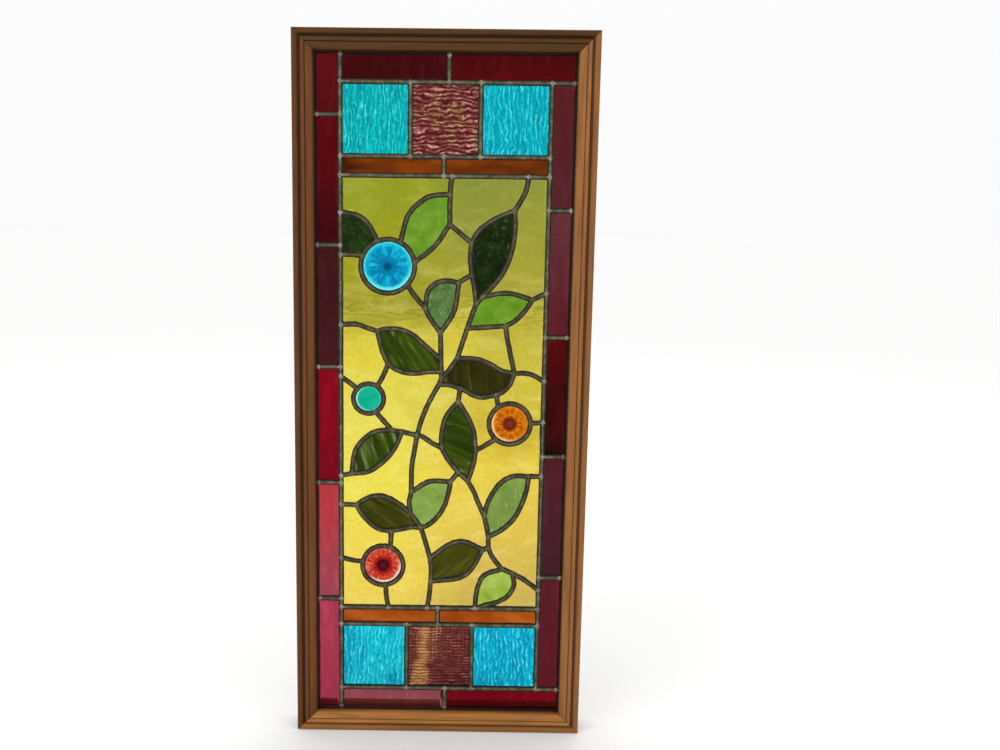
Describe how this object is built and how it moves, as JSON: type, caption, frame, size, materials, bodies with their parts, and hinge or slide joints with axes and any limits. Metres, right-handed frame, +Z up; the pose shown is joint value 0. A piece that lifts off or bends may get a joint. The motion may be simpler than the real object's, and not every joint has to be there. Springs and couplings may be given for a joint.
{
  "type": "stained glass window",
  "caption": "Upright leaded stained glass panel with leaves, stems and round pressed glass in a coloured border, in a slim moulded wooden frame with glazing beads.",
  "frame": {"origin": "middle of the frame's underside, where the bottom rail sits on the sill", "axes": "+Z up the window, +X to the right seen from the front, the front with the glazing beads looks towards -Y"},
  "size_m": [0.354, 0.04, 0.8558],
  "materials": {
    "oak": "satin varnish",
    "lead": "dull patinated lead with solder",
    "dark_green": "streaky dark green glass",
    "bright_green": "bright green glass",
    "grey_green": "pale grey green glass",
    "streaky_green": "streaky mid green glass",
    "olive": "olive glass",
    "lime": "lime green glass",
    "yellow": "yellow cathedral glass",
    "blue": "pressed blue glass",
    "teal": "pressed teal glass",
    "orange": "pressed orange glass",
    "scarlet": "pressed scarlet glass",
    "turquoise": "rippled turquoise glass",
    "brown": "rippled brown glass",
    "amber": "amber glass",
    "red": "deep red glass"
  },
  "bodies": {
    "root": {"Bottom_Rail": "oak", "Right_Stile": "oak", "Head_Rail": "oak", "Left_Stile": "oak", "Bottom_Bead": "oak", "Right_Bead": "oak", "Top_Bead": "oak", "Left_Bead": "oak", "Lead_Cames": "lead", "Leaf_01": "dark_green", "Leaf_02": "bright_green", "Leaf_03": "dark_green", "Leaf_04": "grey_green", "Leaf_05": "bright_green", "Leaf_06": "streaky_green", "Leaf_07": "olive", "Leaf_08": "streaky_green", "Leaf_09": "streaky_green", "Leaf_10": "olive", "Leaf_11": "grey_green", "Leaf_12": "grey_green", "Leaf_13": "olive", "Leaf_14": "lime", "Background_01": "yellow", "Background_02": "yellow", "Background_03": "yellow", "Background_04": "yellow", "Background_05": "yellow", "Background_06": "yellow", "Background_07": "yellow", "Background_08": "yellow", "Background_09": "yellow", "Background_10": "yellow", "Background_11": "yellow", "Background_12": "yellow", "Background_13": "yellow", "Background_14": "yellow", "Background_15": "yellow", "Background_16": "yellow", "Background_17": "yellow", "Background_18": "yellow", "Background_19": "yellow", "Background_20": "yellow", "Background_21": "yellow", "Background_22": "yellow", "Background_23": "yellow", "Background_24": "yellow", "Rondel_Blue": "blue", "Rondel_Teal": "teal", "Rondel_Orange": "orange", "Rondel_Red": "scarlet", "Top_Square_Left": "turquoise", "Top_Square_Centre": "brown", "Top_Square_Right": "turquoise", "Top_Amber_Strip": "amber", "Bottom_Square_Left": "turquoise", "Bottom_Square_Centre": "brown", "Bottom_Square_Right": "turquoise", "Bottom_Amber_Strip": "amber", "Red_Border": "red"}
  },
  "joints": []
}
